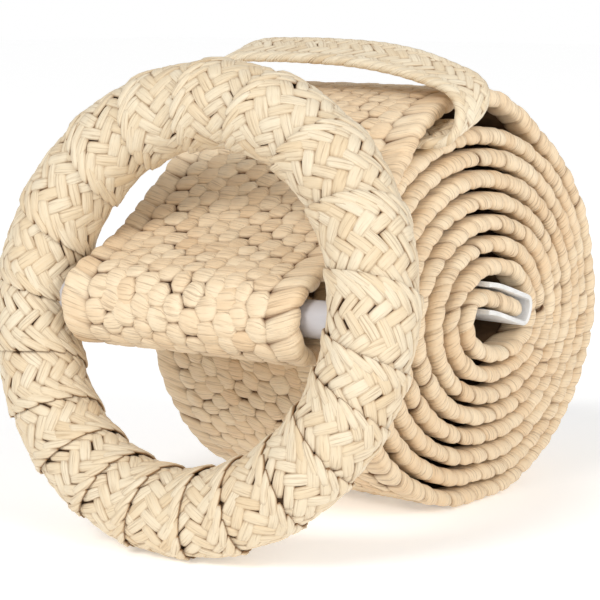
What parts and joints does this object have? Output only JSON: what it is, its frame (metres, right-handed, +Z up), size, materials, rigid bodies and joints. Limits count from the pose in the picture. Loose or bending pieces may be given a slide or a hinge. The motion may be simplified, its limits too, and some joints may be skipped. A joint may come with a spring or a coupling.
{
  "type": "raffia belt with a round slide buckle",
  "caption": "Woven raffia waist belt, rolled into a coil, with a raffia-wrapped round slide buckle and a plaited keeper.",
  "frame": {"origin": "middle of the belt's bounding box, at the height of the table it lies on", "axes": "+X along the coil's axis, out of the woven edge that shows the free end; -Y towards the buckle; +Z up"},
  "size_m": [0.0854, 0.1138, 0.0871],
  "materials": {
    "strap": "woven raffia, matt",
    "buckle_frame": "smooth moulded plastic",
    "buckle_wrap": "plaited raffia, matt",
    "keeper": "plaited raffia, matt",
    "end_binding": "white tape"
  },
  "bodies": {
    "belt": {"strap": "strap", "strap_front": "strap", "keeper": "keeper", "end_binding": "end_binding"},
    "buckle": {"buckle_frame": "buckle_frame", "buckle_wrap": "buckle_wrap"}
  },
  "joints": [
    {"name": "buckle_swing", "type": "hinge", "parent": "belt", "child": "buckle", "pos_m": [0, -0.04035, 0.04214], "axis": [0.9903, 0.1392, 0], "range_deg": [-7, 35]}
  ]
}
